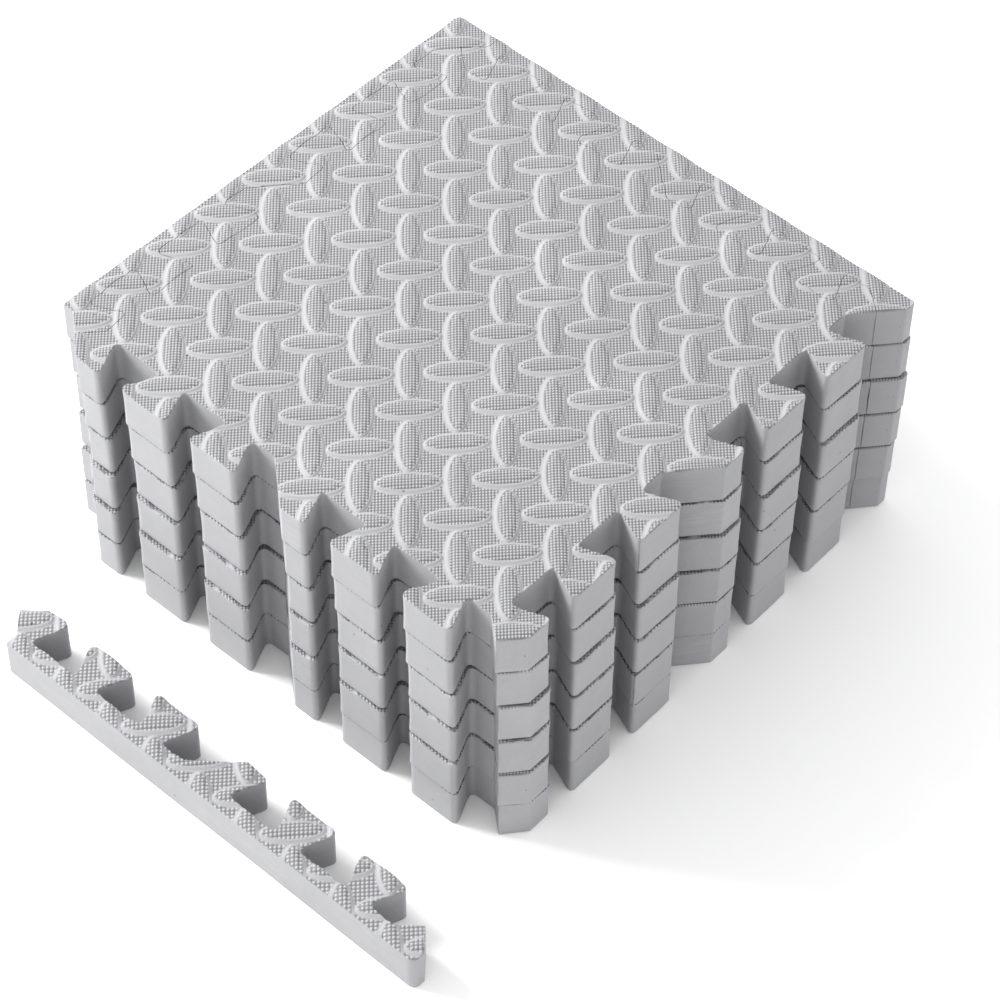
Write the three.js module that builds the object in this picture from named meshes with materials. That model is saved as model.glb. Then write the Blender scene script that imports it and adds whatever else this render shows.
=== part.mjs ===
// Interlocking foam mats: a hand-laid stack of toothed square mats, each with two straight-backed
// border strips pushed into its back sides, and one more border strip lying loose in front.
// Millimetres, +Z up. The origin is the middle of the bottom mat's underside. +X runs along the
// front-left side towards the front corner, and +Y along the front-right side away from it.
import * as THREE from "three";

// Driving dimensions
const PITCH = 47.4; // from one tooth to the next
const HALF_PITCHES = 3; // a side is two runs of three pitches, so it mirrors onto any other side
const TOOTH_DEPTH = 20.6; // notch floor to tooth tip
const TOOTH_SPREAD = 0.36; // how much each flank of a mat's tooth stands out past half a pitch
const FLANK_LEAN = 4.4; // a flank leans this far outwards between mid depth and the tip
const SHOULDER_RUN = 12; // the same for the slanting shoulder on every third tooth
const CORNER_RADIUS = 3.2;
const SHOULDER_RADIUS = 2;
const MAT_THICKNESS = 26.2; // 24.7 mm of foam under 1.5 mm of raised tread
const SPINE = 9; // straight band of a border strip behind its teeth
const STRIP_CORNER_RADIUS = 5; // at the strip end that turns the mat's corner, and on the loose strip
const FLUSH_END_RADIUS = 2.5;
const CLEARANCE = 0.3; // kept between any two pieces
const ARC_STEPS = 2;

// How each mat came to lie as the stack was laid by hand, bottom mat first
const LAID = [
  { x: 0, y: 0, turnDegrees: 0.75 },
  { x: 1, y: -0.75, turnDegrees: 0.5 },
  { x: 1, y: 0.3, turnDegrees: 0.25 },
  { x: 0.8, y: 1.35, turnDegrees: 0 },
  { x: -0.5, y: 1.15, turnDegrees: 0 },
  { x: -0.8, y: 0.15, turnDegrees: 0 },
];

// Where the loose strip lies: the middle of its tooth line, and its turn
const LOOSE_STRIP = { x: 22.5, y: -216.2, turnDegrees: 0.34 };

const HALF_SIDE = HALF_PITCHES * PITCH;
const HALF_DEPTH = TOOTH_DEPTH / 2;
const STRIP_BACK = HALF_DEPTH + SPINE;
const LAYER_STEP = MAT_THICKNESS + CLEARANCE;

const foam = new THREE.MeshStandardMaterial({
  color: 0xc9c9cb,
  roughness: 0.9,
  metalness: 0,
});

// A corner of an outline: u runs along a side, w points out of the mat from mid tooth depth.
function corner(u, w, radius) {
  return { u, w, radius };
}

// One side of a mat from corner to corner. Each tooth is wider at its tip than at its root, so
// sides lock together, and every third tooth has a slanting shoulder in place of its first flank.
function toothedSide() {
  const side = [corner(-HALF_SIDE, 0, 0)];
  for (let k = -HALF_PITCHES; k <= HALF_PITCHES; k++) {
    const shoulder = k % 3 === 0;
    const near = k * PITCH - (shoulder ? 0 : TOOTH_SPREAD);
    const run = shoulder ? -SHOULDER_RUN : FLANK_LEAN;
    const radius = shoulder ? SHOULDER_RADIUS : CORNER_RADIUS;
    if (k > -HALF_PITCHES) side.push(corner(near + run, -HALF_DEPTH, radius));
    if (k === HALF_PITCHES) break;
    side.push(corner(near - run, HALF_DEPTH, radius));
    const far = (k + 0.5) * PITCH + TOOTH_SPREAD;
    side.push(corner(far + FLANK_LEAN, HALF_DEPTH, CORNER_RADIUS));
    side.push(corner(far - FLANK_LEAN, -HALF_DEPTH, CORNER_RADIUS));
  }
  return side;
}

// The corners of a path moved out sideways by a distance, each along its mitre. The path goes on
// past its ends in the directions given, so its end corners are mitred too.
function moveOut(path, distance, before, after) {
  const unit = (a, b) => new THREE.Vector2(b.u - a.u, b.w - a.w).normalize();
  return path.map((p, i) => {
    const d1 = i ? unit(path[i - 1], p) : before;
    const d2 = i < path.length - 1 ? unit(p, path[i + 1]) : after;
    const mitre = new THREE.Vector2(-d1.y - d2.y, d1.x + d2.x);
    mitre.multiplyScalar(distance / (1 + d1.dot(d2)));
    return corner(p.u + mitre.x, p.w + mitre.y, p.radius);
  });
}

// A closed outline with each corner rounded to its radius.
function roundedShape(points) {
  const shape = new THREE.Shape();
  points.forEach((p, i) => {
    const here = new THREE.Vector2(p.x, p.y);
    const last = points[(i + points.length - 1) % points.length];
    const next = points[(i + 1) % points.length];
    const back = new THREE.Vector2(last.x, last.y).sub(here).normalize();
    const ahead = new THREE.Vector2(next.x, next.y).sub(here).normalize();
    const half = Math.acos(THREE.MathUtils.clamp(back.dot(ahead), -1, 1)) / 2;
    const trim = p.radius / Math.tan(half);
    const start = back.multiplyScalar(trim).add(here);
    const end = ahead.multiplyScalar(trim).add(here);
    if (i === 0) shape.moveTo(start.x, start.y);
    else shape.lineTo(start.x, start.y);
    if (trim > 0) shape.quadraticCurveTo(here.x, here.y, end.x, end.y);
  });
  shape.closePath();
  return shape;
}

// Plan position of a corner on the front-left side; other sides are this one turned.
function onFrontLeft(p) {
  return { x: p.u, y: -HALF_SIDE - p.w, radius: p.radius };
}

function slab(shape) {
  return new THREE.ExtrudeGeometry(shape, {
    depth: MAT_THICKNESS,
    bevelEnabled: false,
    curveSegments: ARC_STEPS,
  });
}

function matGeometry() {
  const side = toothedSide().map(onFrontLeft);
  const outline = [];
  for (let quarter = 0; quarter < 4; quarter++) {
    const turn = (quarter * Math.PI) / 2;
    for (const p of side) {
      const v = new THREE.Vector2(p.x, p.y).rotateAround(new THREE.Vector2(), turn);
      outline.push({ x: v.x, y: v.y, radius: p.radius });
    }
  }
  return slab(roundedShape(outline));
}

// A border strip fills one side's notches and ends in a straight back. Its far end is cut along
// the shoulder's line. Its near end stops flush with the next side's tooth tips, or on a corner
// strip it runs on around the mat's corner.
function stripOutline(turnsCorner, endRadius) {
  const shoulderLine = new THREE.Vector2(SHOULDER_RUN, HALF_DEPTH).normalize();
  const acrossLine = new THREE.Vector2(-HALF_DEPTH, SHOULDER_RUN).normalize();
  const path = [...toothedSide(), corner(HALF_SIDE, 0, 0)];
  const teeth = moveOut(path, CLEARANCE, shoulderLine, shoulderLine);
  const farEnd = HALF_SIDE - HALF_DEPTH;
  const nearEnd = -HALF_SIDE - HALF_DEPTH;
  const end = [
    corner(farEnd, SHOULDER_RUN, SHOULDER_RADIUS),
    corner(farEnd, STRIP_BACK, 0),
  ];
  const flush = [
    corner(nearEnd, STRIP_BACK, endRadius),
    corner(nearEnd, SHOULDER_RUN, SHOULDER_RADIUS),
  ];
  // the neighbour's far end, seen from this side and cleared by the gap
  const neighbour = moveOut(
    [
      corner(-HALF_SIDE - STRIP_BACK, -HALF_DEPTH, 0),
      corner(-HALF_SIDE - SHOULDER_RUN, -HALF_DEPTH, SHOULDER_RADIUS),
      corner(-HALF_SIDE, 0, 0),
    ],
    CLEARANCE,
    new THREE.Vector2(1, 0),
    acrossLine,
  );
  const around = [
    corner(-HALF_SIDE - STRIP_BACK, STRIP_BACK, endRadius),
    ...neighbour.slice(0, 2),
  ];
  return [...teeth, ...end, ...(turnsCorner ? around : flush)];
}

function stripGeometry({ turnsCorner = false, mirrored = false, endRadius }) {
  const sign = mirrored ? -1 : 1;
  const points = stripOutline(turnsCorner, endRadius).map(onFrontLeft);
  return slab(roundedShape(points.map((p) => ({ ...p, x: sign * p.x }))));
}

function piece(name, geometry) {
  const mesh = new THREE.Mesh(geometry, foam.clone());
  mesh.name = name;
  return mesh;
}

const mats = new THREE.Group();
LAID.forEach((laid, k) => {
  const layer = new THREE.Group();
  layer.position.set(laid.x, laid.y, k * LAYER_STEP);
  layer.rotation.z = THREE.MathUtils.degToRad(laid.turnDegrees);
  layer.add(piece(`mat_${k + 1}`, matGeometry()));

  const flush = stripGeometry({ endRadius: FLUSH_END_RADIUS });
  const backRight = piece(`back_right_border_${k + 1}`, flush);
  backRight.rotation.z = Math.PI;
  layer.add(backRight);

  const around = stripGeometry({ turnsCorner: true, endRadius: STRIP_CORNER_RADIUS });
  const backLeft = piece(`back_left_border_${k + 1}`, around);
  backLeft.rotation.z = 1.5 * Math.PI;
  layer.add(backLeft);
  mats.add(layer);
});

// The loose strip is of the other hand: its teeth run the opposite way round.
const otherHand = stripGeometry({ mirrored: true, endRadius: STRIP_CORNER_RADIUS });
otherHand.translate(0, HALF_SIDE, 0);
const loose = piece("loose_border", otherHand);
loose.position.set(LOOSE_STRIP.x, LOOSE_STRIP.y, 0);
loose.rotation.z = THREE.MathUtils.degToRad(LOOSE_STRIP.turnDegrees);
mats.add(loose);

export default mats;
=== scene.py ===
"""A stack of interlocking foam mats with border strips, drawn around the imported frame.

Each piece is a slab of closed-cell foam cut to its toothed outline. Its top is a height field: a
ground of fine pebbles under raised oval treads, laid in two crossed directions. Its sides are
smooth cut walls with a softly rounded bottom edge. Lengths are in metres.
"""

import math

import bpy
import numpy as np
from mathutils import Matrix, Vector, noise
from mathutils.geometry import delaunay_2d_cdt


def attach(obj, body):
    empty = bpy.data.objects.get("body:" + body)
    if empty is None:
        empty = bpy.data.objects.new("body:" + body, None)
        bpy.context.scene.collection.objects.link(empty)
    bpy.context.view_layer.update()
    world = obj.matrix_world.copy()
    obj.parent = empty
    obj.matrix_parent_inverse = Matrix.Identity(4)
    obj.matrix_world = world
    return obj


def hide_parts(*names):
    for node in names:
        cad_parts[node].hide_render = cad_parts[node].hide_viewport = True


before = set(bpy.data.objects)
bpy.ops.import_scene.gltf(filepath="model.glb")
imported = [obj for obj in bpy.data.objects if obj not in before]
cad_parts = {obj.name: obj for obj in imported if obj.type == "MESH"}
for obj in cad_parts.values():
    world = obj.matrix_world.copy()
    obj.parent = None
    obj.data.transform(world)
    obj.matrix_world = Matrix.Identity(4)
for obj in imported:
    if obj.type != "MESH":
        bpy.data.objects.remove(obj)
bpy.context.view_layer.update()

# Driving dimensions, the same as the frame's but for the clearance
MM = 0.001
PITCH = 47.4 * MM
HALF_PITCHES = 3
TOOTH_DEPTH = 20.6 * MM
TOOTH_SPREAD = 0.36 * MM
FLANK_LEAN = 4.4 * MM
SHOULDER_RUN = 12 * MM
CORNER_RADIUS = 3.2 * MM
SHOULDER_RADIUS = 2 * MM
SPINE = 9 * MM
STRIP_CORNER_RADIUS = 5 * MM
FLUSH_END_RADIUS = 2.5 * MM
CLEARANCE = 0.05 * MM  # less than the frame's, because foam springs out to close its seams
LAYER_STEP = 26.5 * MM
ARC_STEPS = 8
HALF_SIDE = HALF_PITCHES * PITCH
HALF_DEPTH = TOOTH_DEPTH / 2
STRIP_BACK = HALF_DEPTH + SPINE

# Where each mat lies (x, y, turn in degrees), bottom mat first, and the loose strip
LAID = [
    (0, 0, 0.75),
    (1 * MM, -0.75 * MM, 0.5),
    (1 * MM, 0.3 * MM, 0.25),
    (0.8 * MM, 1.35 * MM, 0),
    (-0.5 * MM, 1.15 * MM, 0),
    (-0.8 * MM, 0.15 * MM, 0),
]
LOOSE_LAID = (22.5 * MM, -216.2 * MM, 0.34)

# The moulded top
GROUND = 24.7 * MM  # height of the pebbled ground, which is where the walls end
TREAD_RISE = 1.5 * MM
TREAD_LENGTH = 33.4 * MM
TREAD_WIDTH = 13.2 * MM
PLATEAU_LENGTH = 30.6 * MM  # the pebbled top of a tread; round it runs a smooth bevel
PLATEAU_WIDTH = 9.6 * MM
PLATEAU_SHIFT = 0.7 * MM  # to one side, which makes one bevel wide and the other narrow
PLATEAU_CROWN = 0.5  # share of the rise left to the plateau's own crown
BEVEL_FULLNESS = 0.8  # below 1 the bevel climbs sooner from its foot
OVAL = 1.85  # a tread's plan is along^2 + across^OVAL = 1, between a lens (1) and an ellipse (2)
SMOOTH_FOOT = 0.7 * MM  # ground without pebbles at the foot of a tread
PEBBLE_FADE = 0.5 * MM
TREAD_STEP = (0.681 * PITCH, 0.729 * PITCH)  # between two treads that point the same way
# The middle of one tread, and the steps between pebbles along each of the two tread directions.
# The loose strip comes from another moulding, with coarser pebbles.
PATTERN = (np.array([2.01, -1.745]) * PITCH, np.array([1.6, 1.75]) * MM)
LOOSE_PATTERN = (np.array([0.2, 0.271]) * PITCH, np.array([2.15, 2.2]) * MM)
PEBBLE_RISE = 0.65 * MM
PEBBLE_LEVEL = 0.7  # share of a pebble's height that lies below the smooth surface's level
PEBBLE_FULLNESS = 0.7  # the lower, the broader each pebble and the narrower the grooves
CELLS_PER_PEBBLE = 4
TOP_EDGE = 0.12 * MM  # how far the top's rim stands in from the wall
SEAM_EDGE = 0.3 * MM  # the same on the back-left strips, whose seam stands open
PRESSED_BAND = 6 * MM  # along a strip's straight back the treads are pressed down
PRESSED_RISE = 0.3  # to this share of their height
WALL_HOLLOW = 0.25 * MM  # a mat's cut wall draws in this much at mid height; a strip's doesn't
WALL_TOP = GROUND - 1.2 * PEBBLE_RISE  # the wall's top ring lies below the lowest groove
WALL_RINGS = (0.85, 0.7, 0.5, 0.3, 0.15)  # as shares of the ground's height
BOTTOM_EDGE = (0.2 * MM, 1.1 * MM)  # least and most rounding round the underside
EDGE_SHOULDER = 0.3  # share of the rounding at which its middle ring stands in and up
EDGE_WAVES = 14  # per metre, of the bottom edge's rounding

# The two directions in which treads point, which the rows of pebbles follow
ALONG = np.array(TREAD_STEP) / math.hypot(*TREAD_STEP)
ACROSS = ALONG * (-1, 1)

# Foam: texture scales are per metre
TINT = (0.36, 0.36, 0.371)
MOTTLE_SCALE = 28
GRAIN_SCALE = 900
PAINTED_PIT_SHADE_AND_PEBBLE_HIGHLIGHT = (0.45, 1.42)  # the colour's share in a groove, a painted shade, and on a pebble, a painted highlight
SPECK_SCALE = 55
SPECK_SHADE = 0.55
SCUFF_SCALES = (60, 60, 2600)  # long along the cut, fine across it
SCUFF_PATCH_SCALE = 24
SCUFF_SHADE = 1.12
SHEEN_SCALE = 140  # of the patches that are a little smoother
FOAM_CELL_SCALE = 2600
SWAY_SCALE = 60  # of the slow waves in a cut wall

# Camera, floor and light
CAMERA_PLACE = (0.789, -0.873, 1.4287)
CAMERA_TARGET = Vector((0.0326, -0.0182, 0.08))
CAMERA_ROLL = 1.05  # degrees
CAMERA_LENS = 124.4
CAMERA_SHIFT = -0.0223
FLOOR_REACH = 6
FLOOR_DROP = 0.2 * MM  # below the lowest undersides, so that the two don't share a plane
KEY_PLACE = Vector((-1.75, -0.7, 1.35))
KEY_TARGET = Vector((0, 0, 0.08))


# Outlines

def toothed_side():
    """Corners (u, w, radius) of one side of a mat; w points out of it from mid tooth depth."""
    side = [(-HALF_SIDE, 0, 0)]
    for k in range(-HALF_PITCHES, HALF_PITCHES + 1):
        shoulder = k % 3 == 0
        near = k * PITCH - (0 if shoulder else TOOTH_SPREAD)
        run = -SHOULDER_RUN if shoulder else FLANK_LEAN
        radius = SHOULDER_RADIUS if shoulder else CORNER_RADIUS
        if k > -HALF_PITCHES:
            side.append((near + run, -HALF_DEPTH, radius))
        if k == HALF_PITCHES:
            break
        side.append((near - run, HALF_DEPTH, radius))
        far = (k + 0.5) * PITCH + TOOTH_SPREAD
        side.append((far + FLANK_LEAN, HALF_DEPTH, CORNER_RADIUS))
        side.append((far - FLANK_LEAN, -HALF_DEPTH, CORNER_RADIUS))
    return side


def move_out(path, distance, before, after):
    """The path's corners moved sideways along their mitres."""
    moved = []
    for i, (u, w, radius) in enumerate(path):
        here = Vector((u, w))
        d1 = (here - Vector(path[i - 1][:2])).normalized() if i else before
        last = i == len(path) - 1
        d2 = after if last else (Vector(path[i + 1][:2]) - here).normalized()
        mitre = Vector((-d1.y - d2.y, d1.x + d2.x)) * distance / (1 + d1.dot(d2))
        moved.append((u + mitre.x, w + mitre.y, radius))
    return moved


def strip_corners(turns_corner, end_radius):
    """Corners of a border strip, in the same coordinates as the side it fills."""
    shoulder_line = Vector((SHOULDER_RUN, HALF_DEPTH)).normalized()
    across_line = Vector((-HALF_DEPTH, SHOULDER_RUN)).normalized()
    path = toothed_side() + [(HALF_SIDE, 0, 0)]
    teeth = move_out(path, CLEARANCE, shoulder_line, shoulder_line)
    far_end = HALF_SIDE - HALF_DEPTH
    near_end = -HALF_SIDE - HALF_DEPTH
    end = [(far_end, SHOULDER_RUN, SHOULDER_RADIUS), (far_end, STRIP_BACK, 0)]
    if not turns_corner:
        flush = (near_end, STRIP_BACK, end_radius)
        return teeth + end + [flush, (near_end, SHOULDER_RUN, SHOULDER_RADIUS)]
    neighbour = move_out(
        [
            (-HALF_SIDE - STRIP_BACK, -HALF_DEPTH, 0),
            (-HALF_SIDE - SHOULDER_RUN, -HALF_DEPTH, SHOULDER_RADIUS),
            (-HALF_SIDE, 0, 0),
        ],
        CLEARANCE,
        Vector((1, 0)),
        across_line,
    )
    corner = (-HALF_SIDE - STRIP_BACK, STRIP_BACK, end_radius)
    return teeth + end + [corner] + neighbour[:2]


def placed(corners, turn):
    """Corners of the front-left side in plan, turned about the mat's middle by quarter turns."""
    c, s = round(math.cos(turn)), round(math.sin(turn))
    flat = [(u, -HALF_SIDE - w, radius) for u, w, radius in corners]
    return [(c * x - s * y, s * x + c * y, radius) for x, y, radius in flat]


def rounded(corners):
    """A closed outline, counter-clockwise, with each corner rounded to its radius."""
    points = []
    for i, (x, y, radius) in enumerate(corners):
        here = Vector((x, y))
        if radius == 0:
            points.append(here)
            continue
        back = (Vector(corners[i - 1][:2]) - here).normalized()
        ahead = (Vector(corners[(i + 1) % len(corners)][:2]) - here).normalized()
        trim = radius / math.tan(math.acos(max(-1, min(1, back.dot(ahead)))) / 2)
        for step in range(ARC_STEPS + 1):
            t = step / ARC_STEPS
            points.append(here + back * trim * (1 - t) ** 2 + ahead * trim * t**2)
    outline = np.array([tuple(p) for p in points])
    apart = np.linalg.norm(outline - np.roll(outline, 1, 0), axis=1) > 1e-6
    outline = outline[apart]
    x, y = outline.T
    area = np.sum(x * np.roll(y, -1) - np.roll(x, -1) * y)
    return outline if area > 0 else outline[::-1]


# The height of the moulded top

def inside_oval(local, direction, length, width):
    """Roughly how far inside an oval's edge each point is, with the oval's middle at 0, 0."""
    half_length, half_width = length / 2, width / 2
    along = np.abs(local @ direction) / half_length
    across = np.abs(local @ np.array([-direction[1], direction[0]])) / half_width
    inside = 1 - along**2 - across**OVAL
    slope = np.hypot(2 * along / half_length, OVAL * across ** (OVAL - 1) / half_width)
    return np.minimum(inside / np.maximum(slope, 1e-6), half_width)


def treads(points, offset, direction, side):
    """How far each point is inside the nearest tread of one direction, and inside its plateau.

    Points are given from the pattern's origin, and offset is in steps from there.
    """
    step = np.array(TREAD_STEP)
    local = points - offset * step
    local = local - np.round(local / step) * step
    tread = inside_oval(local, direction, TREAD_LENGTH, TREAD_WIDTH)
    local = local - PLATEAU_SHIFT * side
    return tread, inside_oval(local, direction, PLATEAU_LENGTH, PLATEAU_WIDTH)


def top_surface(points, straight_edges, pattern):
    """Height above the underside, and the mask for the pebbles' painted shade and highlight: 1
    on a pebble, -1 between, 0 where smooth.

    straight_edges are a strip's straight backs: (outward direction, how far out the edge is).
    """
    origin, pebble_step = pattern
    upright, upright_top = treads(points - origin, 0, ACROSS, ALONG)
    level, level_top = treads(points - origin, 0.5, ALONG, ACROSS)
    tread, plateau = np.maximum(upright, level), np.maximum(upright_top, level_top)
    bevel = np.clip(tread / np.maximum(tread - plateau, 1e-6), 0, 1)
    crown = np.sin(np.clip(plateau / (PLATEAU_WIDTH / 2), 0, 1) * math.pi / 2)
    climb = 0.5 - 0.5 * np.cos(math.pi * bevel**BEVEL_FULLNESS)
    rise = (1 - PLATEAU_CROWN) * climb + PLATEAU_CROWN * crown
    for outward, reach in straight_edges:
        inwards = np.clip((reach - points @ np.array(outward)) / PRESSED_BAND, 0, 1)
        rise = rise * (PRESSED_RISE + (1 - PRESSED_RISE) * np.sin(inwards * math.pi / 2))
    on_top = np.clip(plateau / PEBBLE_FADE + 0.5, 0, 1)
    on_ground = np.clip((-tread - SMOOTH_FOOT) / PEBBLE_FADE + 0.5, 0, 1)
    lattice = np.linalg.inv(np.column_stack([ALONG, ACROSS]) * pebble_step)
    a, b = lattice @ (points - origin).T
    waves = (0.5 + 0.5 * np.cos(2 * math.pi * a)) * (0.5 + 0.5 * np.cos(2 * math.pi * b))
    pebble, pebbly = waves**PEBBLE_FULLNESS, on_top + on_ground
    height = GROUND + TREAD_RISE * rise + PEBBLE_RISE * (pebble - PEBBLE_LEVEL) * pebbly
    return height, (2 * pebble - 1) * pebbly


# Slabs

def cells_inside(outline):
    """Which cells of a grid lie inside an outline given in cell units, and the grid's corner."""
    low = np.floor(outline.min(0)).astype(int) - 1
    size = np.ceil(outline.max(0)).astype(int) + 1 - low
    cells = np.zeros(size, bool)
    start, end = outline, np.roll(outline, -1, 0)
    for j in range(size[1]):
        level = low[1] + j + 0.5
        hit = (start[:, 1] > level) != (end[:, 1] > level)
        a, b = start[hit], end[hit]
        crossing = a[:, 0] + (level - a[:, 1]) * (b[:, 0] - a[:, 0]) / (b[:, 1] - a[:, 1])
        column = np.ceil(np.sort(crossing) - low[0] - 0.5).astype(int)
        for first, stop in zip(column[::2], column[1::2]):
            cells[first:stop, j] = True
    while True:
        around = np.pad(cells, 1)
        a, b = around[:-1, :-1], around[1:, :-1]
        c, d = around[:-1, 1:], around[1:, 1:]
        pinched = (a & d & ~b & ~c) | (b & c & ~a & ~d)
        if not pinched.any():
            return cells, low
        for i, j in np.argwhere(pinched):
            cells[max(i - 1, 0) : i + 1, max(j - 1, 0) : j + 1] = False


def rim_of(cells, index):
    """The grid corners round the edge of the cells, in order, counter-clockwise."""
    around = np.pad(cells, 1)
    here = np.argwhere(cells)
    sides = [((0, -1), (0, 0), (1, 0)), ((1, 0), (1, 0), (1, 1))]
    sides += [((0, 1), (1, 1), (0, 1)), ((-1, 0), (0, 1), (0, 0))]
    following = {}
    for beyond, first, second in sides:
        open_side = ~around[here[:, 0] + 1 + beyond[0], here[:, 1] + 1 + beyond[1]]
        edge = here[open_side]
        starts = index[edge[:, 0] + first[0], edge[:, 1] + first[1]]
        ends = index[edge[:, 0] + second[0], edge[:, 1] + second[1]]
        following.update(zip(starts.tolist(), ends.tolist()))
    start = next(iter(following))
    rim = [start]
    while following[rim[-1]] != start:
        rim.append(following[rim[-1]])
    return np.array(rim)


def nearest_on(outline, points):
    """Each point's nearest point on the outline, and the outward direction there."""
    start, edge = outline, np.roll(outline, -1, 0) - outline
    length2 = np.maximum((edge**2).sum(1), 1e-18)
    found = np.empty_like(points)
    outward = np.empty_like(points)
    for k in range(0, len(points), 1000):
        block = points[k : k + 1000]
        offset = block[:, None] - start
        t = np.clip((offset * edge).sum(2) / length2, 0, 1)
        gap = offset - t[..., None] * edge
        best = (gap**2).sum(2).argmin(1)
        row = np.arange(len(block))
        found[k : k + 1000] = start[best] + t[row, best, None] * edge[best]
        outward[k : k + 1000] = edge[best][:, ::-1] * (1, -1)
    return found, outward / np.linalg.norm(outward, axis=1)[:, None]


def flat_fill(vertices, ring):
    """Triangles that fill a flat ring of vertices, counter-clockwise seen from above."""
    plan = [Vector(v[:2]) for v in vertices[ring]]
    edges = [(i, (i + 1) % len(ring)) for i in range(len(ring))]
    _, _, faces, sources, _, _ = delaunay_2d_cdt(plan, edges, [], 1, 1e-7)
    kept = [[sources[v][0] for v in face] for face in faces if all(sources[v] for v in face)]
    return ring[np.array(kept)]


def slab_mesh(
    name, outline, straight_edges=(), top_edge=TOP_EDGE, wall_hollow=0, pattern=PATTERN
):
    """A foam slab: the moulded top, cut walls and a flat underside, as one closed mesh."""
    origin, pebble_step = pattern
    lattice = np.column_stack([ALONG, ACROSS]) * pebble_step / CELLS_PER_PEBBLE
    cells, low = cells_inside((np.linalg.inv(lattice) @ (outline - origin).T).T)

    around = np.pad(cells, 1)
    used = around[:-1, :-1] | around[1:, :-1] | around[:-1, 1:] | around[1:, 1:]
    index = np.full(used.shape, -1)
    index[used] = np.arange(used.sum())
    plan = (lattice @ (np.argwhere(used) + low).T).T + origin
    i, j = np.nonzero(cells)
    corners = [index[i, j], index[i + 1, j], index[i + 1, j + 1], index[i, j + 1]]
    top_faces = np.column_stack(corners)

    rim = rim_of(cells, index)
    edge, outward = nearest_on(outline, plan[rim])
    plan[rim] = edge - top_edge * outward
    height, pebble_light_mask = top_surface(plan, straight_edges, pattern)
    vertices = [np.column_stack([plan, height])]
    waves = np.array([noise.noise(Vector((x, y, 0)) * EDGE_WAVES) for x, y in edge])
    least, most = BOTTOM_EDGE
    soft = least + (most - least) * np.clip(0.5 + waves, 0, 1)
    # rings down the wall: (how far in from the outline, height)
    zero = np.zeros(len(edge))
    wall = [(zero, zero + WALL_TOP)]
    for share in WALL_RINGS:
        hollow = wall_hollow * math.sin(share * math.pi)
        wall.append((zero + hollow, zero + GROUND * share))
    wall += [(zero, soft), (EDGE_SHOULDER * soft, EDGE_SHOULDER * soft), (soft, zero)]
    count = len(plan)
    rings = [rim]
    for inset, level in wall:
        ring = edge - inset[:, None] * outward
        vertices.append(np.column_stack([ring, level]))
        rings.append(np.arange(count, count + len(ring)))
        count += len(ring)
    wall_faces = [
        np.column_stack([upper, lower, np.roll(lower, -1), np.roll(upper, -1)])
        for upper, lower in zip(rings, rings[1:])
    ]
    quads = np.vstack([top_faces] + wall_faces)

    mesh = bpy.data.meshes.new(name)
    vertices = np.vstack(vertices)
    underside = flat_fill(vertices, rings[-1])[:, ::-1]
    starts = np.arange(0, quads.size, 4)
    starts = np.concatenate([starts, quads.size + np.arange(0, underside.size, 3)])
    mesh.vertices.add(len(vertices))
    mesh.vertices.foreach_set("co", vertices.ravel())
    mesh.loops.add(quads.size + underside.size)
    corners = np.concatenate([quads.ravel(), underside.ravel()])
    mesh.loops.foreach_set("vertex_index", corners)
    mesh.polygons.add(len(starts))
    mesh.polygons.foreach_set("loop_start", starts)
    mesh.update(calc_edges=True)
    mesh.polygons.foreach_set("use_smooth", np.ones(len(mesh.polygons), bool))
    # on the top's vertices, the mask for the pebbles' painted shade and highlight
    values = np.zeros(len(vertices))
    values[: len(pebble_light_mask)] = pebble_light_mask
    mesh.attributes.new("pebble_light_mask", "FLOAT", "POINT").data.foreach_set("value", values)
    mesh.validate()
    return mesh


# Materials

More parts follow.
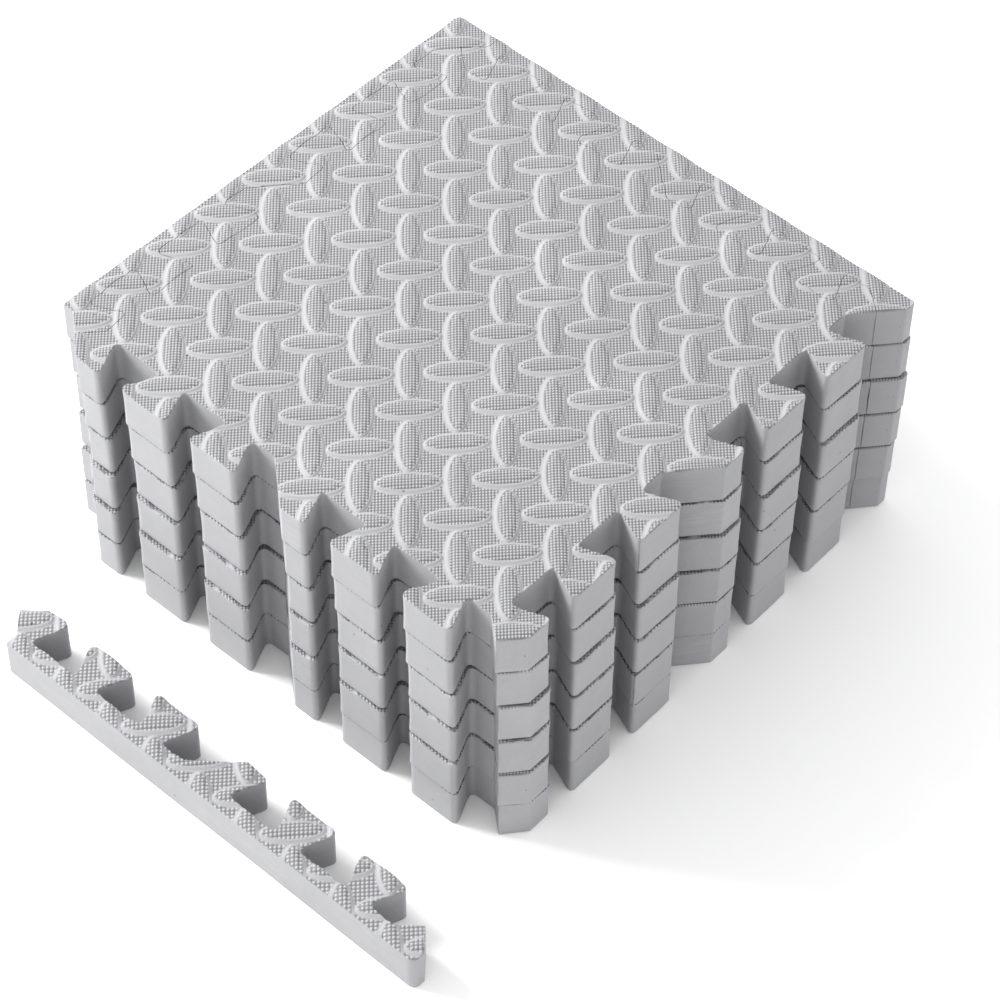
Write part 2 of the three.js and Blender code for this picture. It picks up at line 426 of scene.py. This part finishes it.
def foam_material(name, tint):
    """Matte closed-cell foam: mottled, with painted shade between pebbles and a painted
    highlight on them, with specks and faint scuffs.
    """
    material = bpy.data.materials.new(name)
    material.use_nodes = True
    nodes, links = material.node_tree.nodes, material.node_tree.links
    shader = nodes["Principled BSDF"]
    shader.inputs["Specular IOR Level"].default_value = 0.35
    shader.inputs["Sheen Weight"].default_value = 0.08
    shader.inputs["Sheen Roughness"].default_value = 0.6

    def node(kind, **values):
        made = nodes.new(kind)
        for key, value in values.items():
            made.inputs[key].default_value = value
        return made

    coordinates = nodes.new("ShaderNodeTexCoord").outputs["Object"]

    def clouds(scale, detail, vector=coordinates):
        made = node("ShaderNodeTexNoise", Scale=scale, Detail=detail)
        links.new(vector, made.inputs["Vector"])
        return made.outputs["Fac"]

    def ramp(source, low, high, dark, light):
        made = nodes.new("ShaderNodeMapRange")
        sockets = ("From Min", "From Max", "To Min", "To Max")
        for key, value in zip(sockets, (low, high, dark, light)):
            made.inputs[key].default_value = value
        links.new(source, made.inputs["Value"])
        return made.outputs["Result"]

    def times(a, b):
        made = nodes.new("ShaderNodeMath")
        made.operation = "MULTIPLY"
        links.new(a, made.inputs[0])
        links.new(b, made.inputs[1])
        return made.outputs[0]

    mottle = ramp(clouds(MOTTLE_SCALE, 4), 0.3, 0.7, 0.97, 1.03)
    grain = ramp(clouds(GRAIN_SCALE, 2), 0.3, 0.7, 0.97, 1.03)
    pebble_light_mask = nodes.new("ShaderNodeAttribute")
    pebble_light_mask.attribute_name = "pebble_light_mask"
    # painted shade in the grooves between pebbles and a painted highlight on each pebble
    painted_pebble_shade_and_highlight = ramp(pebble_light_mask.outputs["Fac"], -1, 1, *PAINTED_PIT_SHADE_AND_PEBBLE_HIGHLIGHT)
    specks = node("ShaderNodeTexVoronoi", Scale=SPECK_SCALE)
    links.new(coordinates, specks.inputs["Vector"])
    speck = ramp(specks.outputs["Distance"], 0.03, 0.05, SPECK_SHADE, 1)
    stretch = node("ShaderNodeMapping", Scale=SCUFF_SCALES)
    links.new(coordinates, stretch.inputs["Vector"])
    lines = ramp(clouds(1, 2, stretch.outputs["Vector"]), 0.5, 0.62, 0, 1)
    patches = ramp(clouds(SCUFF_PATCH_SCALE, 1), 0.58, 0.68, 0, 1)
    scuffs = ramp(times(lines, patches), 0, 1, 1, SCUFF_SHADE)
    shade = times(times(times(mottle, grain), times(painted_pebble_shade_and_highlight, speck)), scuffs)
    colour = nodes.new("ShaderNodeVectorMath")
    colour.operation = "SCALE"
    colour.inputs[0].default_value = tint
    links.new(shade, colour.inputs["Scale"])
    links.new(colour.outputs["Vector"], shader.inputs["Base Color"])

    roughness = ramp(clouds(SHEEN_SCALE, 3), 0.3, 0.7, 0.62, 0.78)
    links.new(roughness, shader.inputs["Roughness"])
    bump = node("ShaderNodeBump", Strength=0.25, Distance=0.2 * MM)
    links.new(clouds(FOAM_CELL_SCALE, 2), bump.inputs["Height"])
    sway = node("ShaderNodeBump", Strength=0.35, Distance=0.6 * MM)
    links.new(clouds(SWAY_SCALE, 1), sway.inputs["Height"])
    links.new(bump.outputs["Normal"], sway.inputs["Normal"])
    links.new(sway.outputs["Normal"], shader.inputs["Normal"])
    return material


# Pieces

def lay(mesh, body, place, level):
    """Lays one foam piece in its place and lets it stand for its body's CAD solid."""
    piece = bpy.data.objects.new(f"foam_{body}", mesh)
    bpy.context.scene.collection.objects.link(piece)
    x, y, turn = place
    piece.matrix_world = Matrix.Translation((x, y, level)) @ Matrix.Rotation(
        math.radians(turn), 4, "Z"
    )
    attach(piece, body)
    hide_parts(body)


QUARTER = math.pi / 2
mat_corners = sum((placed(toothed_side(), n * QUARTER) for n in range(4)), [])
flush_corners = strip_corners(False, FLUSH_END_RADIUS)
around_corners = strip_corners(True, STRIP_CORNER_RADIUS)
loose_corners = strip_corners(False, STRIP_CORNER_RADIUS)
# the loose strip is of the other hand, with its teeth towards +Y
loose_plan = [(-u, -w, radius) for u, w, radius in loose_corners]

back_right_edge = ((0, 1), HALF_SIDE + STRIP_BACK)
back_left_edge = ((-1, 0), HALF_SIDE + STRIP_BACK)
loose_edge = ((0, -1), STRIP_BACK)

mat_mesh = slab_mesh("mat_slab", rounded(mat_corners), wall_hollow=WALL_HOLLOW)
back_right_outline = rounded(placed(flush_corners, 2 * QUARTER))
back_right_mesh = slab_mesh("back_right_slab", back_right_outline, [back_right_edge])
back_left_outline = rounded(placed(around_corners, 3 * QUARTER))
both_edges = [back_left_edge, back_right_edge]
back_left_mesh = slab_mesh("back_left_slab", back_left_outline, both_edges, SEAM_EDGE)
loose_mesh = slab_mesh("loose_slab", rounded(loose_plan), [loose_edge], pattern=LOOSE_PATTERN)

mat_foam = foam_material("mat_foam", TINT)
border_foam = foam_material("border_foam", TINT)
mat_mesh.materials.append(mat_foam)
for border in (back_right_mesh, back_left_mesh, loose_mesh):
    border.materials.append(border_foam)

for k, place in enumerate(LAID):
    level = k * LAYER_STEP
    x, y, turn = place
    # a mat fits any way round, and here only the top one lies without a quarter turn
    quarter_turns = len(LAID) - 1 - k
    lay(mat_mesh, f"mat_{k + 1}", (x, y, turn + 90 * quarter_turns), level)
    lay(back_left_mesh, f"back_left_border_{k + 1}", place, level)
    lay(back_right_mesh, f"back_right_border_{k + 1}", place, level)
lay(loose_mesh, "loose_border", LOOSE_LAID, 0)


# Camera, floor and light

def aimed(place, target):
    """The rotation that points a camera or a light from a place at a target."""
    return (target - Vector(place)).to_track_quat("-Z", "Y")


camera = bpy.data.objects.new("camera", bpy.data.cameras.new("camera"))
bpy.context.scene.collection.objects.link(camera)
camera.data.sensor_width = 36
camera.data.lens = CAMERA_LENS
camera.data.shift_y = CAMERA_SHIFT
camera.data.clip_end = 20
camera.location = CAMERA_PLACE
camera.rotation_mode = "QUATERNION"
roll = Matrix.Rotation(math.radians(CAMERA_ROLL), 3, "Z").to_quaternion()
camera.rotation_quaternion = aimed(CAMERA_PLACE, CAMERA_TARGET) @ roll
bpy.context.scene.camera = camera

floor_mesh = bpy.data.meshes.new("floor")
R = FLOOR_REACH
floor_mesh.from_pydata([(-R, -R, 0), (R, -R, 0), (R, R, 0), (-R, R, 0)], [], [(0, 1, 2, 3)])
floor = bpy.data.objects.new("floor", floor_mesh)
bpy.context.scene.collection.objects.link(floor)
floor.location.z = -FLOOR_DROP
floor_material = bpy.data.materials.new("floor_white")
floor_material.use_nodes = True
floor_shader = floor_material.node_tree.nodes["Principled BSDF"]
floor_shader.inputs["Base Color"].default_value = (0.95, 0.95, 0.95, 1)
floor_shader.inputs["Roughness"].default_value = 0.9
floor_mesh.materials.append(floor_material)

world = bpy.data.worlds.new("studio")
world.use_nodes = True
sky = world.node_tree.nodes["Background"]
sky.inputs["Color"].default_value = (1, 1, 1, 1)
sky.inputs["Strength"].default_value = 0.95
bpy.context.scene.world = world
bpy.context.scene.view_settings.view_transform = "Standard"
bpy.context.scene.view_settings.look = "Medium High Contrast"

key = bpy.data.lights.new("key", "AREA")
key.shape = "SQUARE"
key.size = 1.0
key.energy = 64
key_lamp = bpy.data.objects.new("key", key)
bpy.context.scene.collection.objects.link(key_lamp)
key_lamp.location = KEY_PLACE
key_lamp.rotation_mode = "QUATERNION"
key_lamp.rotation_quaternion = aimed(KEY_PLACE, KEY_TARGET)
